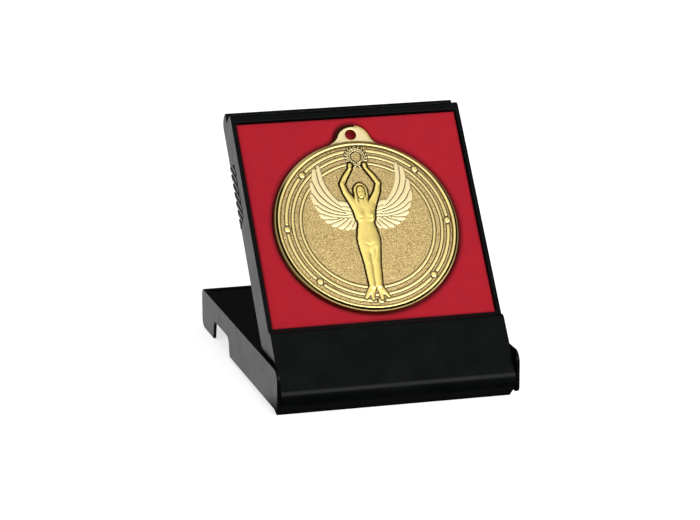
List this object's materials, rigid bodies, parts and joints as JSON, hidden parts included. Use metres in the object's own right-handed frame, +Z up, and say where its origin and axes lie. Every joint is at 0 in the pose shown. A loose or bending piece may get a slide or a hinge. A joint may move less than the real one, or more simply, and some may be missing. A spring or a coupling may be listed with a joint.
{
  "type": "medal presentation case",
  "caption": "Hinged plastic medal case opened out as a leaning display stand, with a red velour insert and a holed struck medal.",
  "frame": {"origin": "on the table, at the centre of the bounding box's underside", "axes": "+Z up, -Y towards the viewer, +X to the viewer's right, along the hinge axis"},
  "size_m": [0.092, 0.1204, 0.0951],
  "materials": {
    "black_plastic": "satin black moulded polystyrene",
    "red_velour": "short-pile red velour",
    "grey_foam": "dense foam",
    "grey_card": "grey board",
    "gold_medal": "struck and gold-coated, sandblasted field with polished relief"
  },
  "bodies": {
    "cover": {"cover_stand": "black_plastic"},
    "display": {"display_half": "black_plastic", "velour_facing": "red_velour", "foam_pad": "grey_foam", "backing_card": "grey_card"},
    "medal": {"medal": "gold_medal"}
  },
  "joints": [
    {"name": "case_hinge", "type": "hinge", "parent": "cover", "child": "display", "pos_m": [0, -0.05008, 0.01291], "axis": [-1, 0, 0], "range_deg": [-308.91, 0]},
    {"name": "medal_lift_out", "type": "slide", "parent": "display", "child": "medal", "axis": [0, -0.7613, 0.6484], "range_m": [0, 0.008]}
  ]
}
